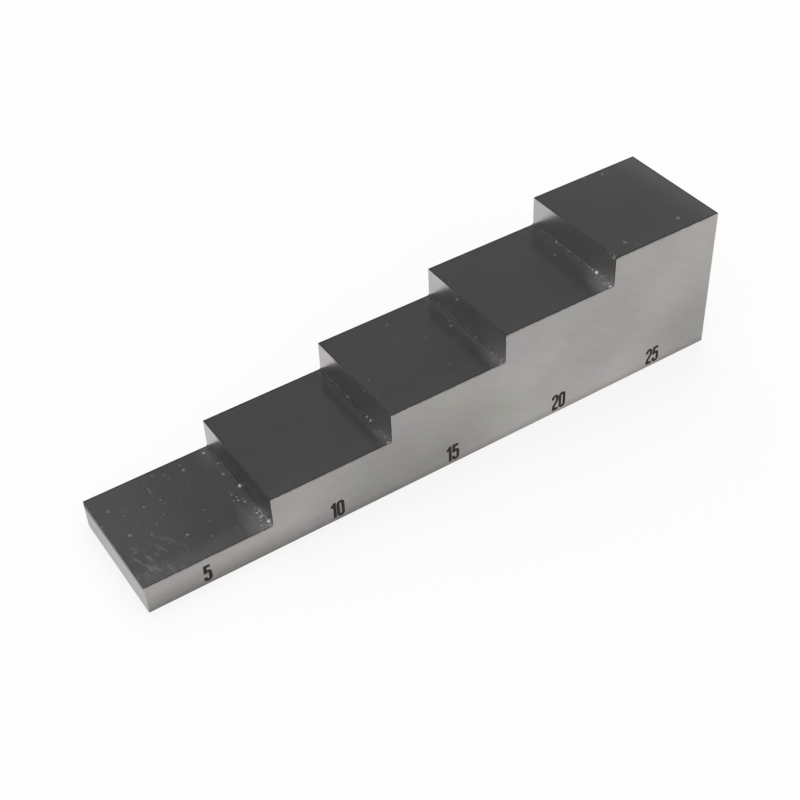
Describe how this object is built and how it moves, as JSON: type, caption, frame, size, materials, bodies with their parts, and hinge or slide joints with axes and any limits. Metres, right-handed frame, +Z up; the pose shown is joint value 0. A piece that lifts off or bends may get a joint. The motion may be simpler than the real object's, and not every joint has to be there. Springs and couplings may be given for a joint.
{
  "type": "step calibration block",
  "caption": "Solid steel bar ground into a stair of equal flats of rising thickness, for setting and checking thickness gauges. It lies on its flat underside.",
  "frame": {"origin": "middle of the underside, halfway along the length and the width", "axes": "+X along the length from the thinnest flat to the thickest, +Y across the block away from the side with the numerals, +Z up from the underside to the flats"},
  "size_m": [0.1, 0.02, 0.025],
  "materials": {
    "steel": "lapped flats with a dark, near-mirror shine, and satin ground sides, ends and underside",
    "marking": "matt brown-black etched marking"
  },
  "bodies": {
    "root": {"step_block": "steel"}
  },
  "joints": []
}
